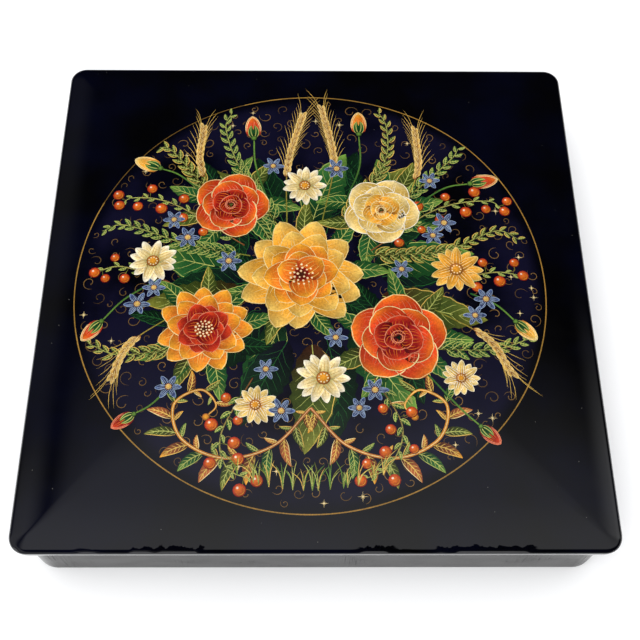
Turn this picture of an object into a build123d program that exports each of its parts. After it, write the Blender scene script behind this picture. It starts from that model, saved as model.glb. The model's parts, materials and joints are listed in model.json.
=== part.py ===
from build123d import *
import math
import os

# A flat square box of lacquered papier-mache with a pillow-topped lid that overhangs the walls.
# The lid turns on a knuckle hinge let into the seam along the back, hidden under the overhang.
# Millimetres. +Z is up, -Y is the front, and the origin is on the table under the box's centre.

# The lid's outline and its side, which leans in towards a small round at the underside.
lid_width = 180.0
lid_depth = 180.0
lid_corner_radius = 5.5
lid_side_rise = 3.3
lid_lower_lean = 10.0
lid_upper_lean = 6.0
lid_lower_radius = 0.3

# Above its side, the lid turns in over a tight round and a looser shoulder, and then rises
# ever more gently to a flat middle. The slopes are degrees from level.
lid_edge_radius = 0.6
lid_shoulder_radius = 1.9
lid_shoulder_slope = 55.0
crown_near_slope = 11.5
crown_near_margin = 15.0
crown_far_slope = 4.5
crown_far_margin = 30.0

# The lid is dished underneath, so that the board is this thick in the middle.
lid_middle_thickness = 4.6
dish_margin = 36.0

# The wound wall, seen in plan and in height.
overhang = 2.0
wall_height = 22.3
wall_thickness = 4.0
wall_inner_radius = 3.2
rim_round = 0.45
foot_round = 0.8
seam_gap = 0.1

# The bottom board sits in a rabbet inside the foot of the wall.
bottom_thickness = 3.4
rabbet_width = 2.0
glue_gap = 0.1
floor_edge_round = 0.6

# The collar under the lid drops inside the wall and keeps the lid square on the box.
collar_height = 3.0
collar_thickness = 3.0
collar_clearance = 0.6
collar_edge_round = 0.7

# The knuckle hinge. Its barrel stands out of the back wall as far as the lid overhangs it.
hinge_end_margin = 25.0
knuckle_length_shares = (0.16, 0.26, 0.16, 0.26, 0.16)
knuckle_names = ("left", "left", "centre", "right", "right")
barrel_radius = 2.2
hinge_axis_inset = 0.2
hinge_axis_drop = 1.0
hinge_running_gap = 0.3
knuckle_end_gap = 0.3
pin_radius = 0.8
pin_clearance = 0.05
plug_length = 4.0

# Cuts run this far past the faces that they open.
overrun = 1.0

# How many places along each arc of the lid's side are tried against the back wall.
edge_trials = 12

# Places that follow from the sizes above.
wall_width = lid_width - 2 * overhang
wall_depth = lid_depth - 2 * overhang
wall_corner_radius = wall_inner_radius + wall_thickness
inner_width = wall_width - 2 * wall_thickness
inner_depth = wall_depth - 2 * wall_thickness
lid_under_z = wall_height + seam_gap
collar_inset = wall_thickness + collar_clearance
hinge_y = wall_depth / 2 - hinge_axis_inset
hinge_z = lid_under_z - hinge_axis_drop
cove_radius = barrel_radius + hinge_running_gap
hinge_length = wall_width - 2 * hinge_end_margin
lid_bore_radius = pin_radius + pin_clearance


def rounded_plate(width, depth, radius, low_z, high_z):
    """A flat plate with rounded corners between two heights."""
    outline = Pos(0, 0, low_z) * RectangleRounded(width, depth, radius)
    return extrude(outline, amount=high_z - low_z)


def bottom_edges(plate):
    """The edges around a plate's lowest face."""
    return plate.faces().sort_by(Axis.Z)[0].edges()


def top_edges(plate):
    """The edges around a plate's highest face."""
    return plate.faces().sort_by(Axis.Z)[-1].edges()


def rod(radius, low_x, high_x):
    """A round bar along the hinge axis."""
    place = Pos((low_x + high_x) / 2, hinge_y, hinge_z) * Rot(0, 90, 0)
    return place * Cylinder(radius, high_x - low_x)


def crossed(half_profile, width, depth):
    """A mitred solid: one section runs front to back, another side to side, and the
    solid is what they share. The section is given by a function of its half width."""
    run_y = half_section(half_profile, width / 2)
    run_x = Rot(0, 0, 90) * half_section(half_profile, depth / 2)
    run_y = extrude(run_y, amount=depth / 2 + overrun, both=True)
    run_x = extrude(run_x, amount=width / 2 + overrun, both=True)
    return run_y & run_x


def half_section(half_profile, half_width):
    """A symmetric section standing in the XZ plane."""
    half = half_profile(half_width)
    return half + mirror(half, Plane.YZ)


def sine(degrees):
    """The sine of an angle in degrees."""
    return math.sin(math.radians(degrees))


def cosine(degrees):
    """The cosine of an angle in degrees."""
    return math.cos(math.radians(degrees))


def lid_side(half_width):
    """The arcs of the lid's side, from the flat underside to past the widest line."""
    lean = sine(lid_lower_lean) - sine(lid_upper_lean)
    side_radius = lid_side_rise / lean
    side_run = side_radius * (cosine(lid_upper_lean) - cosine(lid_lower_lean))
    edge_run = lid_edge_radius * (1 - cosine(lid_upper_lean))
    undercut = lid_lower_radius * cosine(lid_lower_lean) + side_run + edge_run
    lower = JernArc((half_width - undercut, 0), (1, 0), lid_lower_radius, 90 - lid_lower_lean)
    side = JernArc(lower @ 1, lower % 1, side_radius, lid_lower_lean - lid_upper_lean)
    edge_turn = lid_upper_lean + 90 - lid_shoulder_slope
    edge = JernArc(side @ 1, side % 1, lid_edge_radius, edge_turn)
    return lower, side, edge


def lid_half_profile(half_width):
    """Half of the lid's section: flat below, the side, a shoulder and the crown."""
    lower, side, edge = lid_side(half_width)
    near_radius = crown_near_margin / (sine(crown_near_slope) - sine(crown_far_slope))
    far_radius = crown_far_margin / sine(crown_far_slope)
    shoulder_turn = lid_shoulder_slope - crown_near_slope
    shoulder = JernArc(edge @ 1, edge % 1, lid_shoulder_radius, shoulder_turn)
    near_turn = crown_near_slope - crown_far_slope
    crown_near = JernArc(shoulder @ 1, shoulder % 1, near_radius, near_turn)
    crown_far = JernArc(crown_near @ 1, crown_near % 1, far_radius, crown_far_slope)
    top = crown_far @ 1
    middle = Polyline(top, (0, top.Y), (0, 0), lower @ 0)
    outline = Curve() + [lower, side, edge, shoulder, crown_near, crown_far, middle]
    return Rot(90, 0, 0) * make_face(outline)


def lid_height():
    """How far the middle of the lid stands above its underside."""
    return lid_half_profile(lid_width / 2).bounding_box().max.Z


def dish_half_profile(half_width):
    """Half of the section of the hollow under the lid, open below."""
    depth = lid_height() - lid_middle_thickness
    slope = 2 * math.degrees(math.atan(depth / dish_margin))
    start = (half_width, 0)
    rise = JernArc(start, (-cosine(slope), sine(slope)), dish_margin / sine(slope), slope)
    below = Polyline(rise @ 1, (0, depth), (0, -overrun), (half_width, -overrun), start)
    return Rot(90, 0, 0) * make_face(Curve() + [rise, below])


def knuckle_spans():
    """The owner, name, start and end along X of each knuckle of the barrel."""
    spans = []
    left = -hinge_length / 2
    last = len(knuckle_length_shares) - 1
    for place, share in enumerate(knuckle_length_shares):
        right = left + hinge_length * share / sum(knuckle_length_shares)
        owner = "body" if place % 2 == 0 else "lid"
        low = left if place == 0 else left + knuckle_end_gap / 2
        high = right if place == last else right - knuckle_end_gap / 2
        spans.append((owner, knuckle_names[place], low, high))
        left = right
    return spans


def cut_hinge_seats(solid, owner):
    """Rounds out a close seat for each of the owner's knuckles and a clear cove for the rest."""
    for knuckle_owner, _, low, high in knuckle_spans():
        if knuckle_owner == owner:
            solid -= rod(barrel_radius, low, high)
        else:
            solid -= rod(cove_radius, low - knuckle_end_gap, high + knuckle_end_gap)
    return solid


def make_wall_shell():
    """The wound wall: straight sides, round corners, a rabbeted foot and hinge seats."""
    outer = rounded_plate(wall_width, wall_depth, wall_corner_radius, 0, wall_height)
    outer = fillet(bottom_edges(outer), foot_round)
    outer = fillet(top_edges(outer), rim_round)
    top = wall_height + overrun
    shell = outer - rounded_plate(inner_width, inner_depth, wall_inner_radius, -overrun, top)
    shell -= rounded_plate(
        inner_width + 2 * rabbet_width,
        inner_depth + 2 * rabbet_width,
        wall_inner_radius + rabbet_width,
        -overrun,
        bottom_thickness,
    )
    return cut_hinge_seats(shell, "body")


def make_bottom_board():
    """The board that closes the box, glued up into the wall's rabbet."""
    lip = rabbet_width - glue_gap
    board = rounded_plate(
        inner_width + 2 * lip, inner_depth + 2 * lip, wall_inner_radius + lip, 0, bottom_thickness
    )
    return fillet(bottom_edges(board), floor_edge_round)


def make_lid_board():
    """The lid: a rolled edge, a mitred crown, round corners and a dished underside."""
    board = crossed(lid_half_profile, lid_width, lid_depth)
    corner_x = lid_width / 2 - lid_corner_radius
    corner_y = lid_depth / 2 - lid_corner_radius
    height = lid_height()
    # Each sharp corner gives way to a quarter turn of the same edge.
    keep = Pos(corner_x + lid_corner_radius / 2, 0, height / 2) * Rot(90, 0, 0)
    edge = lid_half_profile(lid_width / 2) & keep * Rectangle(lid_corner_radius, height)
    quarter = revolve(Pos(-corner_x, 0, 0) * edge, Axis.Z, 90)
    square = Box(lid_corner_radius + overrun, lid_corner_radius + overrun, height * 2)
    middle = (lid_corner_radius + overrun) / 2
    for turn, side_x, side_y in ((0, 1, 1), (90, -1, 1), (180, -1, -1), (270, 1, -1)):
        board -= Pos(side_x * (corner_x + middle), side_y * (corner_y + middle), 0) * square
        board += Pos(side_x * corner_x, side_y * corner_y, 0) * Rot(0, 0, turn) * quarter
    dish_width = inner_width - 2 * (collar_clearance + collar_thickness)
    dish_depth = inner_depth - 2 * (collar_clearance + collar_thickness)
    dish = crossed(dish_half_profile, dish_width, dish_depth)
    dish &= rounded_plate(dish_width, dish_depth, wall_inner_radius, -overrun, height)
    return cut_hinge_seats(Pos(0, 0, lid_under_z) * (board - dish), "lid")


def make_lid_collar():
    """The ring glued under the lid that drops inside the wall."""
    width = wall_width - 2 * collar_inset
    depth = wall_depth - 2 * collar_inset
    low_z = lid_under_z - collar_height
    ring = rounded_plate(width, depth, wall_inner_radius - collar_clearance, low_z, lid_under_z)
    ring = fillet(bottom_edges(ring), collar_edge_round)
    return ring - rounded_plate(
        width - 2 * collar_thickness,
        depth - 2 * collar_thickness,
        wall_inner_radius,
        low_z - overrun,
        lid_under_z + overrun,
    )


def make_knuckle(bore_radius, low, high):
    """A length of tube: it is glued into its seat and turns on the pin."""
    return rod(barrel_radius, low, high) - rod(bore_radius, low - overrun, high + overrun)


def make_hinge():
    """Every knuckle, the wire pin through them and the two pegs that close the bore."""
    pieces = {}
    for owner, name, low, high in knuckle_spans():
        bore_radius = pin_radius if owner == "body" else lid_bore_radius
        pieces[f"{owner}_knuckle_{name}"] = make_knuckle(bore_radius, low, high)
    pin_end = hinge_length / 2 - plug_length
    pieces["hinge_pin"] = rod(pin_radius, -pin_end, pin_end)
    pieces["pin_plug_left"] = rod(pin_radius, -hinge_length / 2, -pin_end)
    pieces["pin_plug_right"] = rod(pin_radius, pin_end, hinge_length / 2)
    return pieces


def opening_angle():
    """How far the lid turns before its rolled side meets the back wall, in degrees."""
    angles = []
    for curve in lid_side(lid_depth / 2):
        for trial in range(edge_trials):
            point = curve @ (trial / edge_trials)
            behind = point.X - hinge_y
            above = point.Y + hinge_axis_drop
            start = math.atan2(above, behind)
            angles.append(start + math.acos(hinge_axis_inset / math.hypot(behind, above)))
    return math.degrees(min(angles))


def main():
    os.makedirs("parts", exist_ok=True)
    pieces = {
        "wall_shell": make_wall_shell(),
        "bottom_board": make_bottom_board(),
        "lid_board": make_lid_board(),
        "lid_collar": make_lid_collar(),
        **make_hinge(),
    }
    for name, piece in pieces.items():
        export_step(piece, f"parts/{name}.step")
    print("nodes", len(pieces))
    print("hinge axis at y", round(hinge_y, 3), "z", round(hinge_z, 3))
    print("lid from z", round(lid_under_z, 3), "to z", round(lid_under_z + lid_height(), 3))
    print("lid meets the back wall at", round(opening_angle(), 1), "degrees")


main()
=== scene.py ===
import json
import math
import random
import bmesh
import bpy
import numpy as np
from mathutils import Matrix, Vector
from mathutils.bvhtree import BVHTree


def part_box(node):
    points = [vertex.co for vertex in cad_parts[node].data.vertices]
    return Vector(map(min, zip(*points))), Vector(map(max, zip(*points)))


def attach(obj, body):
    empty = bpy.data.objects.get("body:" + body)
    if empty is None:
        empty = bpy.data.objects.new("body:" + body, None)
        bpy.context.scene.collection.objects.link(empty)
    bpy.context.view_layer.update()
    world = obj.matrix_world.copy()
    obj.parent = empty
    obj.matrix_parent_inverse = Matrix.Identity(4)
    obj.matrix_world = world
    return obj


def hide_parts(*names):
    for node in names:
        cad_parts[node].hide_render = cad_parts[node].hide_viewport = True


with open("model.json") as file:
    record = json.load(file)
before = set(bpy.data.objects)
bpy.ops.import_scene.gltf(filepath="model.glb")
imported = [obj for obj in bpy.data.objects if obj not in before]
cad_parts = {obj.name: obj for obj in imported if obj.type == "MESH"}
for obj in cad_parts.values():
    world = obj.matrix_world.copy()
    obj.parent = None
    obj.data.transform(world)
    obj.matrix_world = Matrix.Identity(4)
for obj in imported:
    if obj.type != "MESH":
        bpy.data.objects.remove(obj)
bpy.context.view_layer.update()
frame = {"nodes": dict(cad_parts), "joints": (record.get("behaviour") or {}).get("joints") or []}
mm = 0.001  # sizes below are in millimetres where they aren't taken from the frame
print("frame loaded:", len(frame["nodes"]), "nodes")


# shader maths

class Wire:
    # a socket that sums can be written on: each sum adds its own Math node
    def __init__(self, tree, socket=None):
        self.tree = tree
        self.socket = socket

    def node(self, kind, settings=None, sockets=None, out=0):
        made = self.tree.nodes.new(kind)
        for name, value in (settings or {}).items():
            setattr(made, name, value)
        for name, value in (sockets or {}).items():
            if isinstance(value, Wire):
                self.tree.links.new(value.socket, made.inputs[name])
            else:
                made.inputs[name].default_value = value
        return Wire(self.tree, made.outputs[out] if made.outputs else None)

    def maths(self, operation, *values):
        return self.node("ShaderNodeMath", {"operation": operation}, dict(enumerate(values)))

    def vectors(self, operation, *values, **named):
        return self.node("ShaderNodeVectorMath", {"operation": operation}, dict(enumerate(values)) | named)

    def __add__(self, other): return self.maths("ADD", self, other)
    def __radd__(self, other): return self.maths("ADD", other, self)
    def __sub__(self, other): return self.maths("SUBTRACT", self, other)
    def __rsub__(self, other): return self.maths("SUBTRACT", other, self)
    def __mul__(self, other): return self.maths("MULTIPLY", self, other)
    def __rmul__(self, other): return self.maths("MULTIPLY", other, self)
    def __pow__(self, other): return self.maths("POWER", self, other)

    def most(self, other): return self.maths("MAXIMUM", self, other)
    def size(self): return self.maths("ABSOLUTE", self)

    def rise(self, low, high):
        # 0 below low, 1 above high, and a soft ramp between; low may be above high
        sockets = {"Value": self, "From Min": low, "From Max": high}
        settings = {"interpolation_type": "SMOOTHSTEP"}
        return self.node("ShaderNodeMapRange", settings, sockets)

    def blend(self, first, second):
        # colour first where this mask is 0 and second where it is 1
        sockets = {0: self, 6: asColour(first), 7: asColour(second)}
        return self.node("ShaderNodeMix", {"data_type": "RGBA"}, sockets, out=2)

    def tint(self, other):
        settings = {"data_type": "RGBA", "blend_type": "MULTIPLY"}
        return self.node("ShaderNodeMix", settings, {0: 1.0, 6: self, 7: asColour(other)}, out=2)


def asColour(value):
    return value if isinstance(value, Wire) else (*value, 1.0)


def linear(red, green, blue):
    # a colour as seen on screen, 0 to 255, in the values that shaders use
    shares = [value / 255 for value in (red, green, blue)]
    return tuple(s / 12.92 if s < 0.04045 else ((s + 0.055) / 1.055) ** 2.4 for s in shares)


class Finish:
    # one material; its fields are places on the piece in millimetres
    def __init__(self, name):
        self.material = bpy.data.materials.new(name)
        self.material.use_nodes = True
        self.tree = self.material.node_tree
        self.tree.nodes.clear()
        self.wire = Wire(self.tree)
        place = self.wire.node("ShaderNodeTexCoord", out="Object")
        self.place = place.vectors("SCALE", place, Scale=1 / mm)
        self.x, self.y, self.z = [
            self.wire.node("ShaderNodeSeparateXYZ", None, {0: self.place}, out=axis) for axis in range(3)
        ]

    def noise(self, grain, detail=2.0, stretch=(1, 1, 1), shift=0.0):
        # soft blotches about grain millimetres across
        sockets = {"Location": (shift, shift, shift), "Scale": stretch, "Vector": self.place}
        moved = self.wire.node("ShaderNodeMapping", None, sockets)
        sockets = {"Vector": moved, "Scale": 1 / grain, "Detail": detail}
        return self.wire.node("ShaderNodeTexNoise", None, sockets)

    def specks(self, spacing, radius, shift=0.0):
        # small dots scattered about spacing millimetres apart
        sockets = {"Location": (shift, shift, shift), "Vector": self.place}
        moved = self.wire.node("ShaderNodeMapping", None, sockets)
        away = self.wire.node("ShaderNodeTexVoronoi", None, {"Vector": moved, "Scale": 1 / spacing})
        return away.rise(radius / spacing, 0.4 * radius / spacing)

    def hairlines(self, length, width, angle, share, shift=0.0):
        # fine straight rubs that run one way, on the given share of the surface
        sockets = {"Rotation": (0, 0, math.radians(angle)), "Vector": self.place}
        sockets["Location"] = (shift, 0, 0)
        turned = self.wire.node("ShaderNodeMapping", None, sockets)
        sockets = {"Scale": (1 / length, 1 / width, 1 / length), "Vector": turned}
        drawn = self.wire.node("ShaderNodeMapping", None, sockets)
        streak = self.wire.node("ShaderNodeTexNoise", None, {"Vector": drawn, "Scale": 1.0, "Detail": 0.0})
        return streak.rise(1 - share, 1.02 - share)

    def bump(self, height, depth, under=None):
        # height in shares of depth, which is in millimetres
        sockets = {"Height": height, "Distance": depth * mm, "Strength": 1.0}
        if under:
            sockets["Normal"] = under
        return self.wire.node("ShaderNodeBump", None, sockets)

    def finish(self, **sockets):
        named = {name.replace("_", " "): value for name, value in sockets.items()}
        named["Base Color"] = asColour(named["Base Color"])
        shader = self.wire.node("ShaderNodeBsdfPrincipled", None, named)
        self.wire.node("ShaderNodeOutputMaterial", None, {"Surface": shader})
        return self.material


def setMaterial(piece, *materials):
    piece.data.materials.clear()
    for material in materials:
        piece.data.materials.append(material)


def addToScene(name, data):
    thing = bpy.data.objects.new(name, data)
    bpy.context.scene.collection.objects.link(thing)
    return thing


def newPiece(name, points, faces, body):
    mesh = bpy.data.meshes.new(name)
    mesh.from_pydata([tuple(p) for p in points], [], faces)
    mesh.update()
    piece = addToScene(name, mesh)
    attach(piece, body)
    return piece


# finishes

painting = {
    "centre": (-1.8, -2.0),
    "radius": 77.0,
    "ringWidth": 0.38,
    "firstSheet": 0.012,
    "sheet": 0.0022,
    "step": 0.9,
    "strength": 0.84,
}

lacquer = {
    "black": linear(2, 2, 3),
    "navy": linear(3, 4, 17),
    "ground": linear(13, 12, 31),
    "dust": linear(120, 118, 110),
    "chip": linear(24, 21, 22),
    "roughness": 0.055,
    "ripple": 26.0,
    "orangePeel": 1.6,
    "wornFrom": 88.0,
    "wornRagged": 3.6,
    "wornAbove": 26.3,
    "wornTilt": 0.5,
    "wornPlace": 64.0,
    "groundFade": 6,
}


def polishedLacquer(name, dark, tone, wear=1.0):
    # many rubbed coats: a mirror with slow ripples, dust in the last coat and fine rubs
    made = Finish(name)
    ripple = made.noise(lacquer["ripple"], 1.0, shift=3.1)
    peel = made.noise(lacquer["orangePeel"], 1.0, shift=7.7)
    rubs = made.hairlines(30, 0.16, 24, 0.33).most(made.hairlines(22, 0.14, -51, 0.32, shift=9.0))
    worn = made.noise(18, 4.0, shift=21.0).rise(0.5, 0.72)
    rubs = rubs * worn * wear
    dust = made.specks(3.6, 0.15, shift=2.0) * made.noise(9, 1.0, shift=5.0).rise(0.5, 0.6) * wear
    cloud = made.noise(34, 3.0, shift=13.0).rise(0.35, 0.7)
    colour = (dust * 0.8).blend(cloud.blend(dark, tone), lacquer["dust"])
    smear = made.noise(11, 3.0, (1, 1.8, 1), shift=31.0).rise(0.45, 0.75)
    roughness = lacquer["roughness"] + 0.05 * smear + 0.16 * rubs + 0.3 * dust
    surface = made.bump(ripple, 0.055)
    surface = made.bump(peel, 0.0014, surface)
    surface = made.bump(dust, 0.02, surface)
    return made, colour, roughness, surface


def makeLidLacquer():
    # the painting's ground is a shade bluer, and the front shoulder is worn back here and there
    made, colour, roughness, surface = polishedLacquer("lidLacquer", lacquer["black"], lacquer["navy"])
    across, along = made.x - painting["centre"][0], made.y - painting["centre"][1]
    away = (across * across + along * along) ** 0.5
    ground = away.rise(painting["radius"], painting["radius"] - lacquer["groundFade"])
    ground = ground * made.noise(24, 3.0, shift=51.0).rise(0.3, 0.6)
    colour = ground.blend(colour, lacquer["ground"])
    patch = made.noise(30, 2.0, shift=lacquer["wornPlace"]).rise(0.5, 0.54)
    ragged = (made.noise(2.2, 4.0, shift=77.0) - 0.5) * lacquer["wornRagged"]
    lip = (ragged - made.y).rise(lacquer["wornFrom"], lacquer["wornFrom"] + 0.3) * patch
    lip = lip * made.z.rise(lacquer["wornAbove"], lacquer["wornAbove"] + 0.4)
    settings = {"vector_type": "VECTOR", "convert_from": "OBJECT", "convert_to": "WORLD"}
    sockets = {"Vector": (0, -lacquer["wornTilt"], 0)}
    tilt = made.wire.node("ShaderNodeVectorTransform", settings, sockets)
    tilt = tilt.vectors("SCALE", tilt, Scale=lip)
    surface = tilt.vectors("NORMALIZE", tilt.vectors("ADD", surface, tilt))
    return made.finish(Base_Color=colour, Roughness=roughness, Normal=surface)


def makeBoxLacquer():
    # black outside and on the rim, red inside, with the brushed meeting line just below the rim
    black = lacquer["black"]
    made, colour, roughness, surface = polishedLacquer("boxLacquer", black, black, 1.4)
    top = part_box("wall_shell")[1].z / mm
    wander = (made.noise(7, 2.0, shift=40.0) - 0.5) * 0.8
    inside = (made.x.size().most(made.y.size()) - (inner["halfWidth"] + 0.35)).rise(0.1, -0.1)
    below = (made.z + wander).rise(top - 0.4, top - 0.8)
    floor = made.z.rise(inner["floorHeight"] - 0.3, inner["floorHeight"] - 0.2)
    inside = inside * below * floor
    brushed = made.noise(1.1, 3.0, (1, 1, 0.12), shift=60.0)
    red = brushed.rise(0.3, 0.75).blend(inner["red"], inner["redLight"])
    colour = inside.blend(colour, red)
    matt = made.noise(15, 4.0, (1, 1, 2), shift=91.0).rise(0.3, 0.7)
    roughness = roughness + 0.09 + 0.1 * matt + inside * 0.2
    surface = made.bump(made.noise(16, 1.0, shift=95.0), 0.1, surface)
    surface = made.bump(brushed * inside, 0.02, surface)
    return made.finish(
        Base_Color=colour, Roughness=roughness, IOR=1.28, Specular_IOR_Level=0.45, Normal=surface
    )


inner = {
    "red": linear(124, 20, 13),
    "redLight": linear(148, 31, 19),
    "redDark": linear(84, 12, 8),
    "halfWidth": 84.0,
    "floorHeight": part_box("bottom_board")[1].z / mm,
}


def brushedRed(made, cloudGrain):
    # vermilion with fine brush marks, thinner and darker here and there
    brush = made.noise(0.9, 3.0, (0.08, 1, 1), shift=4.0)
    cloud = made.noise(cloudGrain, 4.0, shift=8.0).rise(0.35, 0.7)
    colour = brush.rise(0.3, 0.7).blend(inner["red"], inner["redLight"])
    return brush, cloud, (cloud * 0.22).blend(colour, inner["redDark"])


def makeRedLacquer():
    # the dish of the lid and the collar, with a little dust in the last coat
    made = Finish("redLacquer")
    brush, cloud, colour = brushedRed(made, 30)
    dust = made.specks(6.5, 0.16, shift=6.0) * made.noise(14, 1.0, shift=1.0).rise(0.5, 0.62)
    colour = (dust * 0.7).blend(colour, lacquer["chip"])
    surface = made.bump(brush, 0.012)
    surface = made.bump(made.noise(22, 1.0), 0.05, surface)
    return made.finish(Base_Color=colour, Roughness=0.2 + 0.16 * cloud, Normal=surface)


def makeFloorLacquer():
    # the bottom board: red inside, and black below with the rubs of standing on tables
    made = Finish("floorLacquer")
    brush, cloud, red = brushedRed(made, 26)
    above = made.z.rise(inner["floorHeight"] - 0.15, inner["floorHeight"] - 0.05)
    rubs = made.hairlines(16, 0.2, 12, 0.36).most(made.hairlines(12, 0.2, 77, 0.36, shift=3.0))
    board = (rubs * 0.7).blend(lacquer["black"], linear(52, 46, 42))
    colour = above.blend(board, red)
    surface = made.bump(brush, 0.012)
    surface = made.bump(made.noise(15, 3.0), 0.05, surface)
    return made.finish(Base_Color=colour, Roughness=0.24 + 0.2 * cloud + 0.15 * rubs, Normal=surface)


hingeLook = {
    "brass": linear(150, 112, 52),
    "tarnish": linear(62, 44, 26),
    "steel": linear(128, 128, 130),
    "rust": linear(70, 44, 28),
}


def makeMetal(name, bright, dull, roughness):
    # drawn metal: rings of fine draw marks, and tarnish in patches
    made = Finish(name)
    patch = made.noise(3.2, 5.0, shift=2.0).rise(0.38, 0.62)
    marks = made.noise(0.5, 2.0, (0.05, 1, 1))
    colour = (patch * 0.75).blend(bright, dull)
    colour = colour.tint(marks.rise(0.2, 0.8).blend((0.75, 0.75, 0.75), (1, 1, 1)))
    surface = made.bump(marks, 0.004)
    surface = made.bump(patch, 0.006, surface)
    metal = 1 - 0.35 * patch
    rough = roughness + 0.25 * patch
    return made.finish(Base_Color=colour, Metallic=metal, Roughness=rough, Normal=surface)


# the lid, drawn as rings that follow its outline in from the edge

lid = {
    "cornerRadius": 5.5,
    "sideRise": 3.3,
    "lowerLean": 10.0,
    "upperLean": 6.0,
    "lowerRadius": 0.3,
    "edgeRadius": 0.6,
    "shoulderRadius": 1.9,
    "shoulderSlope": 55.0,
    "nearSlope": 11.5,
    "nearMargin": 15.0,
    "farSlope": 4.5,
    "farMargin": 30.0,
    "paintRoom": 0.28,
    "mitreSoftening": 0.16,
    "middleThickness": 4.6,
    "dishMargin": 36.0,
    "dishCorner": 3.2,
    "cornerSteps": 10,
    "sideSteps": 90,
    "handWobble": 0.09,
    "wobbleHeight": 5.0,
    "wobbleReach": 1.8,
    "wobbleWaves": 14,
    "collarCover": 3.0,
}


def sine(degrees): return math.sin(math.radians(degrees))
def cosine(degrees): return math.cos(math.radians(degrees))


def turnArc(path, radius, turn, steps):
    # carries on from the end of the path, turning left; the path holds x, height and heading
    x, height, heading = path[-1]
    for step in range(1, steps + 1):
        ahead = heading + turn * step / steps
        path.append((
            x + radius * (sine(ahead) - sine(heading)),
            height + radius * (cosine(heading) - cosine(ahead)),
            ahead,
        ))


def lidProfile():
    # inset from the widest line and height above the underside, from the bottom up to the crown
    lean = sine(lid["lowerLean"]) - sine(lid["upperLean"])
    sideRadius = lid["sideRise"] / lean
    sideRun = sideRadius * (cosine(lid["upperLean"]) - cosine(lid["lowerLean"]))
    edgeRun = lid["edgeRadius"] * (1 - cosine(lid["upperLean"]))
    undercut = lid["lowerRadius"] * cosine(lid["lowerLean"]) + sideRun + edgeRun
    nearRadius = lid["nearMargin"] / (sine(lid["nearSlope"]) - sine(lid["farSlope"]))
    farRadius = lid["farMargin"] / sine(lid["farSlope"])
    path = [(-undercut, 0.0, 0.0)]
    turnArc(path, lid["lowerRadius"], 90 - lid["lowerLean"], 4)
    turnArc(path, sideRadius, lid["lowerLean"] - lid["upperLean"], 4)
    turnArc(path, lid["edgeRadius"], lid["upperLean"] + 90 - lid["shoulderSlope"], 7)
    turnArc(path, lid["shoulderRadius"], lid["shoulderSlope"] - lid["nearSlope"], 10)
    shoulder = path[-1][1]
    turnArc(path, nearRadius, lid["nearSlope"] - lid["farSlope"], 18)
    turnArc(path, farRadius, lid["farSlope"], 24)
    rise = path[-1][1] - shoulder
    keep = 1 - lid["paintRoom"] / rise  # the crown is a little low, so that the paint lies inside the box
    return [(-x, h if h < shoulder else shoulder + (h - shoulder) * keep) for x, h, _ in path]


def ringOutline(half, radius, steps, sideSteps):
    # a rounded square, anticlockwise from the front of the right side
    points = []
    flat = half - radius
    for quarter in range(4):
        turn = Matrix.Rotation(math.radians(90 * quarter), 2)
        for step in range(sideSteps):
            across = -flat + 2 * flat * step / sideSteps
            points.append(turn @ Vector((half, across)))
        for step in range(steps):
            angle = 90 * step / steps
            points.append(turn @ Vector((flat + radius * cosine(angle), flat + radius * sine(angle))))
    return points


def joinRings(rings):
    # quads between rings of equal length, and a fan at each end
    count = len(rings[0])
    faces = []
    for ring in range(len(rings) - 1):
        low = ring * count
        for step in range(count):
            ahead = (step + 1) % count
            faces.append((low + step, low + ahead, low + count + ahead, low + count + step))
    points = [p for ring in rings for p in ring]
    for ring, order in ((rings[0], -1), (rings[-1], 1)):
        start = 0 if order < 0 else count * (len(rings) - 1)
        centre = len(points)
        points.append(sum((Vector(p) for p in ring), Vector((0, 0, 0))) / count)
        for step in range(count):
            pair = (start + step, start + (step + 1) % count)
            faces.append((*pair[::order], centre))
    return points, faces


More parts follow.
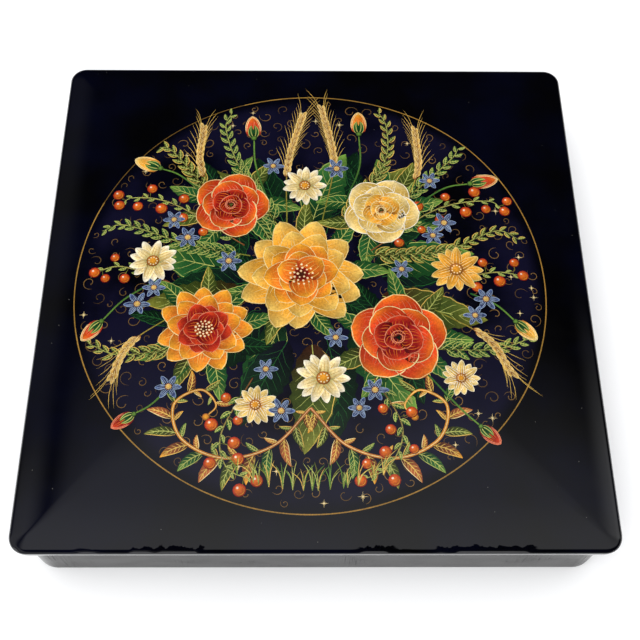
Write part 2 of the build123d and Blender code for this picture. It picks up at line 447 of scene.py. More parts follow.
def makeLid():
    low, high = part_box("lid_board")
    half = (high.x - low.x) / 2 / mm
    under = low.z / mm
    draw = random.Random(5)
    waves = [(draw.uniform(0, 6.28), draw.uniform(6, 30)) for _ in range(lid["wobbleWaves"])]
    profile = lidProfile()
    thickness = (high.z - low.z) / mm
    depth = thickness - lid["middleThickness"]
    dishSlope = 2 * math.degrees(math.atan(depth / lid["dishMargin"]))
    dishRadius = lid["dishMargin"] / sine(dishSlope)
    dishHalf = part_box("lid_collar")[1].x / mm - lid["collarCover"]
    rings = []

    def addRing(inset, height, radius, wobble=0.0):
        ring = []
        outline = ringOutline(half - inset, radius, lid["cornerSteps"], lid["sideSteps"])
        for place, point in enumerate(outline):
            along = place / len(outline) * math.tau
            shake = sum(math.sin(phase + along * count) for phase, count in waves) / len(waves)
            pull = 1 - wobble * (0.5 + 0.5 * shake) / half
            ring.append(((point.x * pull) * mm, (point.y * pull) * mm, (under + height) * mm))
        rings.append(ring)

    # the dish under the lid, from its middle out to the flat border
    for step in range(12, -1, -1):
        inward = lid["dishMargin"] * step / 12
        gap = lid["dishMargin"] - inward
        height = depth - (dishRadius - math.sqrt(dishRadius ** 2 - gap ** 2))
        addRing(half - dishHalf + inward, height, lid["dishCorner"] + inward * 0.2)
    dishRings = len(rings)
    for inset, height in profile:
        corner = max(lid["cornerRadius"] - max(inset, 0), 0)
        radius = math.hypot(corner, max(inset, 0) * lid["mitreSoftening"])
        edge = max(0.0, 1 - abs(height - lid["wobbleHeight"]) / lid["wobbleReach"])
        addRing(max(inset, 0), height, max(radius, 0.2), lid["handWobble"] * edge)
    points, faces = joinRings(rings)
    piece = newPiece("paintedLid", points, faces, "lid")
    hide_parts("lid_board")
    count = len(rings[0])
    redFaces = count * (dishRings - 1)
    fanStart = count * (len(rings) - 1)
    setMaterial(piece, lidLacquer, redLacquer)
    for index, face in enumerate(piece.data.polygons):
        face.use_smooth = True
        face.material_index = int(index < redFaces or fanStart <= index < fanStart + count)
    cutHingeSeats(piece, "lid")
    piece.data.set_sharp_from_angle(angle=math.radians(38))
    return piece


def cutHingeSeats(piece, owner):
    # close half-round seats for the piece's own tubes and wider coves for the other ones
    axis = Vector(frame["joints"][0]["pos_m"])
    gap = 0.3 * mm
    for name in frame["nodes"]:
        if "_knuckle_" not in name:
            continue
        low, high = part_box(name)
        own = name.startswith(owner)
        radius = (high.z - low.z) / 2 + (0 if own else gap)
        ends = 0 if own else gap
        cutter = roundBar(axis, low.x - ends, high.x + ends, radius)
        cut = piece.modifiers.new(name, "BOOLEAN")
        cut.operation = "DIFFERENCE"
        cut.object = cutter
        bpy.context.view_layer.update()
        solved = piece.evaluated_get(bpy.context.evaluated_depsgraph_get())
        shape = bpy.data.meshes.new_from_object(solved)
        piece.modifiers.clear()
        piece.data = shape
        bpy.data.objects.remove(cutter)


def roundBar(axis, left, right, radius, steps=48):
    build = bmesh.new()
    turn = Matrix.Rotation(math.radians(90), 4, "Y")
    place = Matrix.Translation(((left + right) / 2, axis.y, axis.z)) @ turn
    bmesh.ops.create_cone(
        build, cap_ends=True, segments=steps, radius1=radius, radius2=radius,
        depth=right - left, matrix=place,
    )
    mesh = bpy.data.meshes.new("bar")
    build.to_mesh(mesh)
    build.free()
    return addToScene("bar", mesh)


lidLacquer = makeLidLacquer()
boxLacquer = makeBoxLacquer()
redLacquer = makeRedLacquer()
floorLacquer = makeFloorLacquer()
tubeBrass = makeMetal("tubeBrass", hingeLook["brass"], hingeLook["tarnish"], 0.3)
wireSteel = makeMetal("wireSteel", hingeLook["steel"], hingeLook["rust"], 0.32)
print("finishes made")

paintedLid = makeLid()
print("lid made:", len(paintedLid.data.polygons), "faces")

for name, node in frame["nodes"].items():
    if name == "wall_shell":
        setMaterial(node, boxLacquer)
    elif name == "bottom_board":
        setMaterial(node, floorLacquer)
    elif name == "lid_collar":
        setMaterial(node, redLacquer)
    elif "knuckle" in name:
        setMaterial(node, tubeBrass)
    elif name != "lid_board":
        setMaterial(node, wireSteel)
print("box, bottom, collar and hinge finished")


# the painting: brush strokes laid over each other on the crown, a few microns apart

seenPaints = {
    "white": (246, 238, 214), "cream": (238, 214, 150), "straw": (226, 186, 92), "gold": (196, 150, 70),
    "dimGold": (104, 78, 40), "amber": (232, 158, 44), "orange": (222, 112, 34), "vermilion": (206, 62, 28),
    "crimson": (140, 22, 22), "wine": (70, 12, 18), "terracotta": (168, 92, 52), "clay": (122, 66, 38),
    "umber": (56, 32, 20), "leafDark": (14, 36, 22), "leaf": (34, 84, 40), "leafLight": (104, 142, 58),
    "olive": (122, 124, 46), "moss": (64, 78, 30), "lime": (176, 182, 96), "slate": (44, 52, 88),
    "blue": (82, 104, 152), "sky": (158, 178, 204), "ground": (12, 12, 24), "rose": (222, 130, 96),
}
paints = {name: np.array(linear(*seen)) * painting["strength"] for name, seen in seenPaints.items()}


def mixed(first, second, share):
    share = np.clip(np.asarray(share, float), 0, 1)[..., None]
    return paintOf(first) * (1 - share) + paintOf(second) * share


def paintOf(colour):
    return paints[colour] if isinstance(colour, str) else np.asarray(colour, float)


def ramp(values, low, high):
    share = np.clip((np.asarray(values, float) - low) / (high - low), 0, 1)
    return share * share * (3 - 2 * share)


def heading(angle):
    return np.array([cosine(angle), sine(angle)])


def onCircle(angles):
    return np.stack([np.cos(angles), np.sin(angles)], axis=1)


def flowing(points, step=painting["step"]):
    # a smooth line through a few points
    points = np.array(points, float)
    ends = np.vstack([2 * points[0] - points[1], points, 2 * points[-1] - points[-2]])
    line = []
    for place in range(1, len(ends) - 2):
        before, start, end, after = ends[place - 1:place + 3]
        count = max(2, int(np.linalg.norm(end - start) / step))
        for share in np.arange(count) / count:
            square, cube = share ** 2, share ** 3
            line.append(0.5 * (2 * start + (end - before) * share
                               + (2 * before - 5 * start + 4 * end - after) * square
                               + (3 * start - before - 3 * end + after) * cube))
    line.append(points[-1])
    return np.array(line)


class Trail:
    # a smooth line that knows its place and heading at any distance along it
    def __init__(self, points):
        self.path = flowing(points)
        self.reach = np.cumsum(np.linalg.norm(np.diff(self.path, axis=0, prepend=self.path[:1]), axis=1))
        self.length = self.reach[-1]

    def at(self, place):
        return np.array([np.interp(place, self.reach, self.path[:, axis]) for axis in (0, 1)])

    def angle(self, start, end):
        ahead = self.at(end) - self.at(start)
        return math.degrees(math.atan2(ahead[1], ahead[0]))


class Brush:
    # gathers strokes for one piece: places on the picture, a sheet number and a colour for each point
    def __init__(self, name, seed):
        self.name = name
        self.draw = random.Random(seed)
        self.between = self.draw.uniform
        self.places, self.sheets, self.tints, self.faces = [], [], [], []
        self.total = 0

    def vary(self, value, share):
        return value * self.between(1 - share, 1 + share)

    def lay(self, rows, tints, sheet):
        rows = np.asarray(rows, float)
        along, across = rows.shape[:2]
        index = np.arange(along * across).reshape(along, across) + self.total
        quads = np.stack([index[:-1, :-1], index[1:, :-1], index[1:, 1:], index[:-1, 1:]], -1).reshape(-1, 4)
        self.places.append(rows.reshape(-1, 2))
        self.sheets.append(np.full(along * across, float(sheet)))
        self.tints.append(np.broadcast_to(tints, (along, across, 3)).reshape(-1, 3))
        self.faces.append(quads)
        self.total += along * across

    def line(self, path, width, colour, sheet, ends=(0.15, 0.15), colourEnd=None):
        # one pull of a fine brush; ends are the shares of the width where it starts and stops
        path = np.asarray(path, float)
        share = np.linspace(0, 1, len(path))
        swell = np.sin(np.pi * share) ** 0.6
        base = ends[0] * (1 - share) + ends[1] * share
        half = width / 2 * (base + (1 - base) * swell)
        ahead = np.gradient(path, axis=0)
        ahead /= np.maximum(np.linalg.norm(ahead, axis=1, keepdims=True), 1e-9)
        side = np.stack([-ahead[:, 1], ahead[:, 0]], axis=1) * half[:, None]
        load = self.between(0.86, 1.12)
        tint = mixed(colour, colourEnd or colour, share) * load
        # wide strokes get painted shade along both edges, deeper on one side, and a painted highlight just
        # off the middle, so the flat ribbon looks rounded and raised
        if width > 0.45:
            rows = np.stack([path - side, path - side * 0.1, path + side], axis=1)
            tints = np.stack([tint * 0.62, tint * 1.12, tint * 0.86], axis=1)
        else:
            rows = np.stack([path - side, path + side], axis=1)
            tints = np.stack([tint, tint], axis=1)
        self.lay(rows, tints, sheet)

    def disc(self, x, y, radius, inner, outer, sheet, steps=10, light=0.0):
        angles = np.linspace(0, 2 * np.pi, steps + 1)
        reach = np.array([0.02, 0.55, 1.0]) * radius
        rim = onCircle(angles)
        rows = np.array([x, y]) + rim[:, None, :] * reach[None, :, None]
        tints = mixed(inner, outer, np.tile([0.0, 0.35, 1.0], (steps + 1, 1)))
        lit = 1 + light * (rim[:, :1] * -0.6 + rim[:, 1:] * 0.8) * np.array([0, 0.6, 1.0])
        self.lay(rows[:, ::-1], tints[:, ::-1] * lit[:, ::-1, None], sheet)

    def petal(self, x, y, angle, length, width, look, sheet, bend=0.0, streaks=6, point=0.55,
              notch=0.0, teeth=0, outline=0.24, lit=1):
        # a shaded shape with a spine, hair-fine lines along it and a light edge
        look = looks[look]
        steps = np.linspace(0, 1, 9 + teeth * 2)
        share = 1 - (1 - steps) ** 1.5 if not teeth else steps
        turned = np.radians(angle + bend * share)
        ahead = onCircle(turned)
        paces = (np.diff(share, prepend=0) * length)[:, None]
        spine = np.array([x, y]) + np.cumsum(ahead * paces, axis=0)
        side = np.stack([-ahead[:, 1], ahead[:, 0]], axis=1)
        half = width / 2 * (np.sin(np.pi * share ** 0.8) ** point + 0.14 * (1 - share)) + 0.015
        if teeth:
            half = half * (1 - 0.2 * ((share * teeth) % 1.0) * (share < 0.94))
        half[-1] = 0.02

        def at(shares, across):
            line = np.stack([np.interp(shares, share, spine[:, axis]) for axis in (0, 1)], axis=1)
            out = np.stack([np.interp(shares, share, side[:, axis]) for axis in (0, 1)], axis=1)
            dip = notch * length * (1 - abs(across)) * shares ** 5
            forward = np.stack([out[:, 1], -out[:, 0]], axis=1)
            return line + out * (np.interp(shares, share, half) * across)[:, None] - forward * dip[:, None]

        columns = np.array([-1.0, -0.5, 0.0, 0.5, 1.0])
        rows = np.stack([at(share, across) for across in columns], axis=1)
        tints = mixed(look["root"], look["body"], ramp(share, 0.02, 0.55))
        outer = ramp(share, 0.5, 1.0)
        tints = tints * (1 - outer[:, None]) + mixed(look["body"], look["rim"], outer) * outer[:, None]
        shade = 1 + 0.3 * lit * columns
        tints = tints[:, None, :] * shade[None, :, None] * self.between(0.88, 1.1)
        self.lay(rows, tints, sheet)
        for place in range(streaks):
            across = (place + 0.5) / streaks * 1.7 - 0.85 + self.between(-0.06, 0.06)
            start = self.between(0.04, 0.22)
            end = self.between(0.66, 0.93) - 0.12 * abs(across)
            path = at(np.linspace(start, end, 6), across)
            self.line(path, self.between(0.12, 0.22), look["line"], sheet + 1, (0.3, 0.1))
        if outline:
            for across in (-1, 1):
                path = at(np.linspace(self.between(0.25, 0.4), 1.0, 8), across * 0.97)
                width = outline * (1.15 if across == lit else 0.8)
                self.line(path, width, look["edge"], sheet + 1, (0.1, 0.7))
        return at

    def leaf(self, x, y, angle, length, width, look, sheet, bend=0.0, teeth=7, lit=1, veins=6):
        at = self.petal(x, y, angle, length, width, look, sheet, bend, 0, 0.85, 0, teeth, 0, lit)
        look = looks[look]
        self.line(at(np.linspace(0.0, 0.97, 10), 0.0), 0.3, look["line"], sheet + 1, (0.9, 0.1))
        for place in range(veins):
            root = 0.1 + 0.72 * place / veins
            for across in (-0.84, 0.84):
                shares = np.linspace(root, root + 0.16, 4)
                path = np.stack([at(shares[step:step + 1], across * step / 3)[0] for step in range(4)])
                self.line(path, 0.15, look["line"], sheet + 1, (0.8, 0.1))
        edge = at(np.linspace(0.06, 0.97, 14), 0.93 * lit)
        self.line(edge, 0.24, look["edge"], sheet + 1, (0.2, 0.2))
        return at


lookParts = ("root", "body", "rim", "line", "edge")
looks = {
    "amber": "clay amber straw cream cream",
    "deepAmber": "crimson orange amber straw cream",
    "red": "wine vermilion orange rose cream",
    "crimson": "wine crimson vermilion orange rose",
    "cream": "terracotta straw cream white white",
    "white": "olive cream white gold white",
    "blue": "ground slate blue sky sky",
    "grain": "clay gold straw cream cream",
    "deep": "ground leafDark leafDark leaf leaf",
    "green": "leafDark leaf leafLight lime lime",
    "olive": "umber moss olive lime straw",
    "autumn": "umber clay amber straw straw",
    "rust": "umber terracotta terracotta straw cream",
}
looks = {name: dict(zip(lookParts, tones.split())) for name, tones in looks.items()}


def peony(brush, x, y, size, look, inner, sheet, turn=0.0):
    # rings of wide petals, smaller and darker towards a heart full of gold dots
    rings = ((11, 1.0, 0.56, look), (9, 0.8, 0.54, look), (8, 0.6, 0.5, inner), (6, 0.42, 0.44, inner))
    for ring, (count, reach, wide, ringLook) in enumerate(rings):
        for place in range(count):
            angle = turn + 360 * (place + ring * 0.5) / count + brush.between(-5, 5)
            level = sheet + ring * 6 + 2 * (place % 2) + (2 if place == count - 1 else 0)
            length = brush.vary(size * reach, 0.06)
            brush.petal(
                x, y, angle, length, size * wide, ringLook, level,
                bend=brush.between(-14, 14), streaks=8 - ring, point=0.5,
                notch=brush.between(0.02, 0.1),
            )
    heart = sheet + 25
    brush.disc(x, y, size * 0.13, "umber", "crimson", heart)
    for ring, count in ((0.06, 5), (0.12, 9), (0.18, 13)):
        for place in range(count):
            spot = np.array([x, y]) + heading(turn + 360 * place / count + ring * 300) * size * ring
            brush.disc(*spot, brush.vary(0.42, 0.25), "white", "amber", heart + 1, 6)


def rose(brush, x, y, size, look, inner, sheet, turn=0.0):
    # broad petals that wrap round each other, each with its edge turned to the light
    rings = (
        (5, 0.62, 1.02, 0.42, look), (5, 0.44, 0.84, 0.34, look),
        (4, 0.27, 0.64, 0.26, inner), (3, 0.1, 0.46, 0.2, inner),
    )
    for ring, (count, offset, wide, reach, ringLook) in enumerate(rings):
        for place in range(count):
            angle = turn + ring * 32 + 360 * place / count
            root = np.array([x, y]) + heading(angle) * size * offset * 0.35
            level = sheet + ring * 7 + 2 * (place % 2) + (2 if place == count - 1 else 0)
            brush.petal(
                *root, angle, size * (reach + offset * 0.65), size * wide, ringLook, level,
                bend=16, streaks=9 - ring, point=0.42, notch=0.05, outline=0.32,
            )
    heart = sheet + 29
    for place in range(3):
        angles = np.radians(np.linspace(0, 250, 12) + turn + 120 * place)
        reach = size * (0.16 - 0.035 * place)
        path = np.array([x, y]) + onCircle(angles) * reach
        brush.line(path, 0.34, looks[inner]["edge"], heart, (0.2, 0.3))


def daisy(brush, x, y, size, look, sheet, count=13, eye="amber"):
    for place in range(count):
        angle = 360 * place / count + brush.between(-4, 4)
        brush.petal(
            x, y, angle, brush.vary(size, 0.07), size * 0.4, look, sheet + 2 * (place % 2),
            bend=brush.between(-8, 8), streaks=3, point=0.5, outline=0.16,
        )
    brush.disc(x, y, size * 0.27, eye, "clay", sheet + 5, 12, 0.4)
    for place in range(9):
        spot = np.array([x, y]) + heading(40 * place) * size * 0.17
        brush.disc(*spot, size * 0.035, "white", "straw", sheet + 6, 6)


def bud(brush, x, y, angle, size, look, sheet):
    # a closed flower: three petals seen from the side, over two sepals
    for side in (-1, 1):
        brush.petal(x, y, angle + side * 15, size, size * 0.42, look, sheet, -side * 26, 4,
                    lit=side)
    brush.petal(x, y, angle, size * 0.94, size * 0.44, look, sheet + 2, 0, 5)
    for side in (-1, 1):
        brush.leaf(x, y, angle + side * 34, size * 0.6, size * 0.2, "green", sheet + 4,
                   -side * 50, 0, side, 0)
    brush.disc(x, y, size * 0.11, "leafLight", "leafDark", sheet + 6, 8, 0.4)


def berry(brush, x, y, size, sheet):
    brush.disc(x, y, size, "orange", "crimson", sheet, 12, 0.45)
    brush.disc(x - size * 0.3, y + size * 0.34, size * 0.24, "white", "rose", sheet + 1, 7)
    angles = np.radians(np.linspace(-120, 30, 8))
    glow = np.array([x, y]) + onCircle(angles) * size * 0.72
    brush.line(glow, 0.14, "amber", sheet + 1, (0.1, 0.1))


def ear(brush, path, sheet, grain=3.3):
    # a rye ear: grains left and right of the stalk, each with its long hair
    trail = Trail(path)
    brush.line(trail.path, 0.4, "olive", sheet, (0.9, 0.5), "gold")
    place, side = trail.length * 0.42, 1
    while place < trail.length:
        spot, angle = trail.at(place), trail.angle(place, place + 0.5)
        size = brush.vary(grain, 0.1)
        brush.petal(*spot, angle + side * 24, size, size * 0.42, "grain", sheet + 1 + side,
                    -side * 16, 2, outline=0.14, lit=side)
        tip = spot + heading(angle + side * 18) * size * 0.95
        far = tip + heading(angle + side * 20) * brush.vary(8.5, 0.2)
        hair = flowing([tip, tip + heading(angle + side * 14) * 4, far], 2)
        brush.line(hair, 0.13, "straw", sheet + 3, (0.9, 0.1))
        place, side = place + 1.15, -side


def curl(brush, x, y, size, angle, hand, colour, sheet=0):
    # a fine open scroll with a dot at its heart
    turns = np.radians(np.linspace(0, brush.between(250, 380), 16))
    reach = size * (1 - 0.68 * np.linspace(0, 1, 16) ** 0.8)
    path = np.array([x, y]) + onCircle(math.radians(angle) + hand * turns) * reach[:, None]
    brush.line(path, brush.between(0.17, 0.25), colour, sheet, (0.15, 0.8))
    brush.disc(*path[-1], 0.2, colour, colour, sheet, 6)


def star(brush, x, y, size, sheet=1):
    for angle in (0, 45, 90, 135):
        reach = size * (1 if angle % 90 == 0 else 0.5)
        ends = [np.array([x, y]) + heading(angle) * reach * side for side in (-1, 0, 1)]
        brush.line(ends, 0.22, "cream", sheet + angle // 90, (0.05, 0.05))
    brush.disc(x, y, 0.24, "white", "straw", sheet + 2, 6)


def twig(brush, path, look, sheet, size=5.5, gap=3.4, colour="olive"):
    # a thin stem with small leaves in pairs that shrink towards its tip
    trail = Trail(path)
    brush.line(trail.path, 0.42, colour, sheet, (1.0, 0.2), "lime")
    place, side = gap, 1
    while place < trail.length:
        angle = trail.angle(place - 0.6, place)
        grown = brush.vary(size, 0.12) * (1.05 - 0.55 * place / trail.length)
        brush.leaf(*trail.at(place), angle + side * brush.between(38, 54), grown, grown * 0.4,
                   look, sheet + 1, -side * 22, 0, side, 3)
        place, side = place + gap / 2, -side


def scrollingBranch(brush, path, size, sheet, hand=1):
    # curved leaves along the outer side of a scroll, and shorter ones inside the curve
    trail = Trail(path)
    for side, share, gap in ((-hand, 0.5, 6.4), (hand, 1.0, 5.2)):
        place, leaf = 2.0, 0
        while place < trail.length * 0.97:
            angle = trail.angle(place - 0.7, place)
            grown = size * share * math.sin(math.pi * (0.22 + 0.66 * place / trail.length))
            look = ("autumn", "olive", "rust", "green")[leaf % 4]
            brush.leaf(*trail.at(place), angle + side * 34, brush.vary(grown, 0.08), grown * 0.3, look,
                       sheet + 2 * (leaf % 3), side * 42, 0, side, 5)
            place, leaf = place + gap, leaf + 1
    brush.line(trail.path, 1.0, "terracotta", sheet + 7, (0.9, 0.25), "amber")
    brush.line(trail.path, 0.22, "cream", sheet + 8, (0.5, 0.2))
    brush.disc(*trail.path[-1], 1.2, "amber", "clay", sheet + 9, 10, 0.4)


# where everything grows, in millimetres from the middle of the picture; +y is towards the hinge

bouquet = {
    "peonies": [(-3, 3, 20.5, "amber", "deepAmber", 8), (-34, -17, 15, "deepAmber", "crimson", 30)],
    "roses": [(28, -20, 15, "red", "crimson", 15), (24, 28, 12.5, "cream", "amber", 60),
              (-27, 30, 12.5, "red", "crimson", 0)],
    "daisies": [(4, -34, 8.5, "white"), (48, 5, 8.5, "amber"), (-52, 8, 8, "white"), (-2, 38, 7.5, "white"),
                (-17, -43, 6.5, "cream"), (47, -34, 6, "cream")],
    "blues": [(-14, -31), (-9, -45), (15, -44), (20, -38), (41, 18), (45, 23), (41, 40), (9, 45),
              (-13, 46), (-41, 17), (-46, 24), (-56, -8), (-51, -2), (57, -6), (53, -12), (-44, -37),
              (30, 5), (-27, 8), (8, -20)],
    "buds": [((-14, 30), (-19, 46), (-20, 58), 10, "red"), ((12, 32), (17, 46), (17, 60), 10, "deepAmber"),
             ((36, 30), (46, 37), (55, 39), 10, "red"), ((52, -4), (60, -8), (66, -14), 9, "amber"),
             ((-48, 2), (-60, -6), (-67, -14), 9, "red"), ((-36, 34), (-45, 42), (-52, 45), 10, "amber"),
             ((36, -32), (46, -44), (52, -50), 8, "crimson"),
             ((-38, -30), (-48, -42), (-54, -46), 8, "crimson")],
    "ears": [((-8, 22), (-8, 46), (-3, 68)), ((4, 24), (8, 48), (4, 71)), ((30, 26), (37, 44), (37, 62)),
             ((-30, 28), (-38, 46), (-38, 62)), ((40, -10), (56, -20), (63, -32)),
             ((-44, -12), (-57, -22), (-62, -34))],
    "twigs": [((-20, 10), (-40, 14), (-62, 22), (-70, 20)), ((18, 10), (44, 12), (62, 20), (70, 17)),
              ((-10, 20), (-24, 44), (-30, 62), (-28, 70)), ((10, 22), (25, 46), (27, 62), (24, 71)),
              ((30, 30), (48, 48), (52, 54)), ((-34, 34), (-48, 52), (-53, 54)),
              ((38, -24), (58, -24), (70, -20)), ((-42, -24), (-60, -26), (-70, -22))],
    "berries": [((20, 12), (42, 28), (60, 32), (66, 28)), ((-22, 14), (-46, 30), (-60, 33), (-65, 30)),
                ((20, -34), (28, -50), (24, -62), (15, -67)),
                ((-18, -34), (-27, -52), (-25, -63), (-16, -67)),
                ((44, 0), (60, 4), (70, 3)), ((-46, 0), (-62, 6), (-71, 4))],
    "scroll": ((0, -44), (11, -56), (26, -60), (39, -54), (42, -43), (34, -38), (29, -43), (32, -47)),
}


def paintGround():
    # the gold ring, fine scrolls all over the ground, and a few small stars
    brush = Brush("groundScrolls", 11)
    radius = painting["radius"]
    angles = np.radians(np.linspace(0, 360, 361))
    circle = onCircle(angles) * radius
    for start in range(0, 360, 12):
        part = circle[start:start + 13]
        faint = 0.62 if 100 < start < 150 else 1.0
        brush.line(part, painting["ringWidth"] * faint, paintOf("gold") * 0.6 * faint, 0, (0.9, 0.9))
    placed = []
    for _ in range(4000):
        reach, angle = radius * 0.97 * math.sqrt(brush.draw.random()), brush.between(0, 360)
        spot = heading(angle) * reach
        size = brush.between(1.3, 3.0)
        free = all(np.hypot(*(spot - other)) > size + big + 0.5 for other, big in placed)
        if free and reach + size < radius - 1:
            placed.append((spot, size))
            tint = paintOf("dimGold") * brush.between(0.8, 1.7)
            curl(brush, *spot, size, brush.between(0, 360), brush.draw.choice((-1, 1)), tint)
    for _ in range(26):
        spot = heading(brush.between(0, 360)) * radius * brush.between(0.84, 0.97)
        star(brush, *spot, brush.between(0.9, 1.7))
    return brush


def paintBackLeaves():
    # a dark bed of large leaves, and the scrolls at the foot of the bouquet
    brush = Brush("backLeaves", 23)
    for place in range(20):
        angle = 18 * place + brush.between(-6, 6)
        root = heading(angle) * brush.between(16, 24)
        look = ("deep", "green", "deep", "olive")[place % 4]
        side = 1 if place % 2 else -1
        brush.leaf(*root, angle + brush.between(-12, 12), brush.vary(33, 0.12), brush.vary(13, 0.12),
                   look, 4 + 2 * (place % 4), brush.between(-26, 26), 8, side, 8)
    for kind in ("peonies", "roses"):
        for x, y, size, *_ in bouquet[kind]:
            turn = brush.between(0, 60)
            for place in range(9):
                angle = turn + 40 * place
                root = np.array([x, y]) + heading(angle) * size * 0.62
                look = ("green", "olive", "green", "deep")[place % 4]
                side = 1 if place % 2 else -1
                brush.leaf(*root, angle + brush.between(-14, 14), brush.vary(15, 0.12),
                           brush.vary(6, 0.15), look, 13 + 2 * (place % 3),
                           brush.between(-34, 34), 6, side)
    for hand in (1, -1):
        path = [(x * hand, y) for x, y in bouquet["scroll"]]
        scrollingBranch(brush, path, 10.6, 20, -hand)
    return brush


def paintSprays():
    # everything on thin stems: leafy twigs, berries, rye ears, grass and the stems of the buds
    brush = Brush("sprays", 37)
    for place, path in enumerate(bouquet["twigs"]):
        twig(brush, path, ("green", "olive")[place % 2], 24 + 3 * (place % 3))
    for place, path in enumerate(bouquet["ears"]):
        ear(brush, path, 32 + 4 * (place % 2))
    for place, path in enumerate(bouquet["berries"]):
        twig(brush, path, "green", 28, 4.2, 5.2, "clay")
        line = flowing(path)
        for step in range(10, len(line) - 1, 5):
            side = 1 if step % 2 else -1
            ahead = line[step + 1] - line[step]
            out = np.array([-ahead[1], ahead[0]]) / max(np.hypot(*ahead), 0.01) * side
            spot = line[step] + out * brush.between(3.0, 4.4)
            brush.line([line[step], (line[step] + spot) / 2 + ahead * 0.4, spot], 0.2, "olive", 31)
            berry(brush, *spot, brush.between(1.5, 2.1), 40)
        berry(brush, *line[-1], 1.9, 40)
    for start, middle, end, _, _ in bouquet["buds"]:
        brush.line(flowing([start, middle, end]), 0.6, "leaf", 42, (1.0, 0.7), "leafLight")
    for foot in range(15):
        x = -30 + 60 * foot / 14 + brush.between(-1.5, 1.5)
        base = np.array([x * 0.7, -62 - 8 * math.sqrt(max(0, 1 - (x / 34) ** 2))])
        for blade in range(5):
            lean = (blade - 2) * 0.9 + x * 0.05 + brush.between(-0.5, 0.5)
            tall = brush.between(5, 9)
            path = flowing([base, base + (lean * 0.5, tall * 0.6), base + (lean * 1.7, tall)], 1.2)
            colour = brush.draw.choice(("olive", "lime", "leafLight", "straw"))
            brush.line(path, 0.24, colour, 42, (0.8, 0.05))
    return brush


def paintBlossoms():
    brush = Brush("blossoms", 51)
    for x, y, size, look, inner, turn in bouquet["peonies"]:
        peony(brush, x, y, size, look, inner, 46, turn)
    for x, y, size, look, inner, turn in bouquet["roses"]:
        rose(brush, x, y, size, look, inner, 46, turn)
    for x, y, size, look in bouquet["daisies"]:
        daisy(brush, x, y, size, look, 46)
    for place, (x, y) in enumerate(bouquet["blues"]):
        daisy(brush, x, y, 3.7 + 0.5 * (place % 2), "blue", 54, 6, "straw")
    for start, middle, end, size, look in bouquet["buds"]:
        angle = math.degrees(math.atan2(end[1] - middle[1], end[0] - middle[0]))
        bud(brush, *end, angle, size, look, 46)
    return brush


def dryPainting(brush, canvas, material):
    # lays the strokes on the lid: each point lands on the crown, a few microns up for its sheet
    centre = np.array(painting["centre"])
    places = (np.concatenate(brush.places) + centre) * mm
    sheets = np.concatenate(brush.sheets)
    faces = np.concatenate(brush.faces)
    tree, facings, corners, spots = canvas
    points, normals = [], []
    down = Vector((0, 0, -1))
    for (x, y), sheet in zip(places, sheets):
        spot, _, index, _ = tree.ray_cast(Vector((x, y, 1.0)), down)
        facing = Vector((0, 0, 0))
        for corner in corners[index]:
            facing += facings[corner] / ((spots[corner] - spot).length_squared + 1e-9)
        facing.normalize()
        points.append(spot + facing * (painting["firstSheet"] + sheet * painting["sheet"]) * mm)
        normals.append(facing)
    flat = places[faces]
    span, rise = flat[:, 2] - flat[:, 0], flat[:, 3] - flat[:, 1]
    turned = span[:, 0] * rise[:, 1] - span[:, 1] * rise[:, 0] < 0
    faces[turned] = faces[turned][:, ::-1]
    piece = newPiece(brush.name, points, faces.tolist(), "lid")
    tint = piece.data.color_attributes.new("tint", "FLOAT_COLOR", "POINT")
    colours = np.concatenate(brush.tints)
    colours = np.hstack([colours, np.ones((len(colours), 1))]).astype(np.float32)
    tint.data.foreach_set("color", colours.ravel())
    piece.data.polygons.foreach_set("use_smooth", [True] * len(faces))
    piece.data.normals_split_custom_set_from_vertices(normals)
    setMaterial(piece, material)
    print(brush.name, "painted:", len(points), "points")
    return piece


def readCanvas(piece):
    mesh = piece.data
    spots = [vertex.co.copy() for vertex in mesh.vertices]
    facings = [vertex.normal.copy() for vertex in mesh.vertices]
    corners = [list(face.vertices) for face in mesh.polygons]
    return BVHTree.FromPolygons(spots, corners), facings, corners, spots


def makeLacqueredPaint():
    # tempera under the same clear coats as the lid: dry brush grain in the colour, one gloss over all
    made, _, roughness, surface = polishedLacquer("lacqueredPaint", lacquer["black"], lacquer["black"])
    tint = made.wire.node("ShaderNodeAttribute", {"attribute_name": "tint"}, out="Color")
    grain = made.noise(0.5, 3.0, shift=17.0).rise(0.25, 0.75)
    patch = made.noise(5, 3.0, shift=19.0).rise(0.3, 0.7)
    colour = tint.tint(grain.blend((0.7, 0.7, 0.7), (1.1, 1.1, 1.1)))
    colour = colour.tint(patch.blend((0.84, 0.84, 0.86), (1.05, 1.03, 1.0)))
    return made.finish(Base_Color=colour, Roughness=roughness, Normal=surface)


lacqueredPaint = makeLacqueredPaint()
canvas = readCanvas(paintedLid)
for paint in (paintGround, paintBackLeaves, paintSprays, paintBlossoms):
    dryPainting(paint(), canvas, lacqueredPaint)
print("painting dry")


# the studio: pale floor, soft light from all round and a soft box overhead

studio = {
    "lensMm": 56.34,
    "place": (-0.00244, -0.16024, 0.31699),
    "pitch": 63.26,
    "roll": 1.39,
    "yaw": -1.45,
    "floorColour": (0.92, 0.92, 0.92),
    "floorPale": (0.94, 0.94, 0.94),
    "floorSize": 12.0,
    "even": 1.25,
    "overhead": 0.78,
    "left": 0.6,
    "right": 0.85,
    "horizon": 0.05,
    "dark": 0.004,
    "frontPlace": (-0.6, -0.5, 1.5),
    "frontSize": 1.2,
    "frontPower": 9,
}


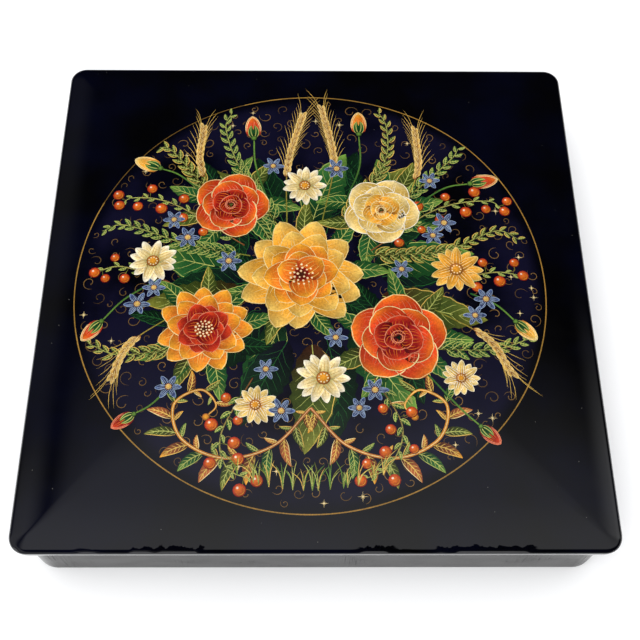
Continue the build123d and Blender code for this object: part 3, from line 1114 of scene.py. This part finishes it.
def makeCamera():
    data = bpy.data.cameras.new("camera")
    data.lens = studio["lensMm"]
    data.sensor_width = 36.0
    data.clip_start, data.clip_end = 0.01, 20.0
    camera = addToScene("camera", data)
    right = Vector((1, 0, 0))
    up = Vector((0, sine(studio["pitch"]), cosine(studio["pitch"])))
    ahead = Vector((0, cosine(studio["pitch"]), -sine(studio["pitch"])))
    cosRoll, sinRoll = cosine(studio["roll"]), sine(studio["roll"])
    right, up = right * cosRoll + up * sinRoll, up * cosRoll - right * sinRoll
    turn = Matrix.Rotation(math.radians(studio["yaw"]), 3, "Z")
    axes = Matrix((turn @ right, turn @ up, turn @ -ahead)).transposed().to_4x4()
    camera.matrix_world = Matrix.Translation(studio["place"]) @ axes
    bpy.context.scene.camera = camera


def makeFloor():
    build = bmesh.new()
    bmesh.ops.create_grid(build, x_segments=24, y_segments=24, size=studio["floorSize"])
    mesh = bpy.data.meshes.new("floor")
    build.to_mesh(mesh)
    build.free()
    floor = addToScene("floor", mesh)
    floor.location.z = -0.02 * mm
    made = Finish("floorPaper")
    grain = made.noise(90, 2.0).rise(0.2, 0.8)
    colour = grain.blend(studio["floorColour"], studio["floorPale"])
    setMaterial(floor, made.finish(Base_Color=colour, Roughness=0.9, Specular_IOR_Level=0.1))


def makeWorld():
    # even soft light on everything; the gloss mirrors a soft box overhead, dim panels at the
    # sides and a dark room in front, and the camera sees the same white as the floor
    world = bpy.data.worlds.new("studio")
    world.use_nodes = True
    world.cycles.sampling_method = "NONE"
    world.node_tree.nodes.clear()
    bpy.context.scene.world = world
    wire = Wire(world.node_tree)
    direction = wire.node("ShaderNodeTexCoord", out="Generated")
    x, y, z = [wire.node("ShaderNodeSeparateXYZ", None, {0: direction}, out=axis) for axis in range(3)]
    lean = wire.maths("ARCTAN2", y, z) * (180 / math.pi)  # degrees from straight up, positive to the back
    aside = wire.maths("ARCTAN2", x, z) * (180 / math.pi)
    overhead = lean.rise(-30, -14) * (lean.rise(29, 13) * 0.6 + lean.rise(16, -8) * 0.4)
    overhead = overhead * aside.rise(-30, -18) * aside.rise(62, 42)
    left = aside.rise(-27, -35) * (0.2 * lean.rise(60, 36) + 0.8 * lean.rise(25, 15)) * z.rise(0.1, 0.3)
    right = aside.rise(32, 40) * lean.rise(34, 20) * lean.rise(2, 12) * z.rise(0.1, 0.3)
    mirrored = studio["overhead"] * overhead + studio["left"] * left + studio["right"] * right
    mirrored = mirrored + studio["dark"] + studio["horizon"] * z.rise(0.35, 0.0)
    path = [wire.node("ShaderNodeLightPath", out=kind) for kind in ("Is Camera Ray", "Is Diffuse Ray")]
    lit = studio["even"] * (0.8 + 0.3 * z.most(0.0) - 0.12 * x)
    shown = path[0] + lit * path[1] + mirrored * (1 - path[0].most(path[1]))
    shader = wire.node("ShaderNodeBackground", None, {"Color": (0.98, 0.985, 1.0, 1), "Strength": shown})
    wire.node("ShaderNodeOutputWorld", None, {"Surface": shader})


def makeFrontLight():
    # a wide soft light from the front left, which the gloss doesn't mirror
    data = bpy.data.lights.new("frontLeft", "AREA")
    data.shape = "RECTANGLE"
    data.size = data.size_y = studio["frontSize"]
    data.energy = studio["frontPower"]
    light = addToScene("frontLeft", data)
    light.location = studio["frontPlace"]
    light.rotation_euler = (-light.location).to_track_quat("-Z", "Y").to_euler()
    light.visible_glossy = False


makeCamera()
makeFloor()
makeWorld()
makeFrontLight()
bpy.context.scene.view_settings.view_transform = "Standard"
print("studio made")
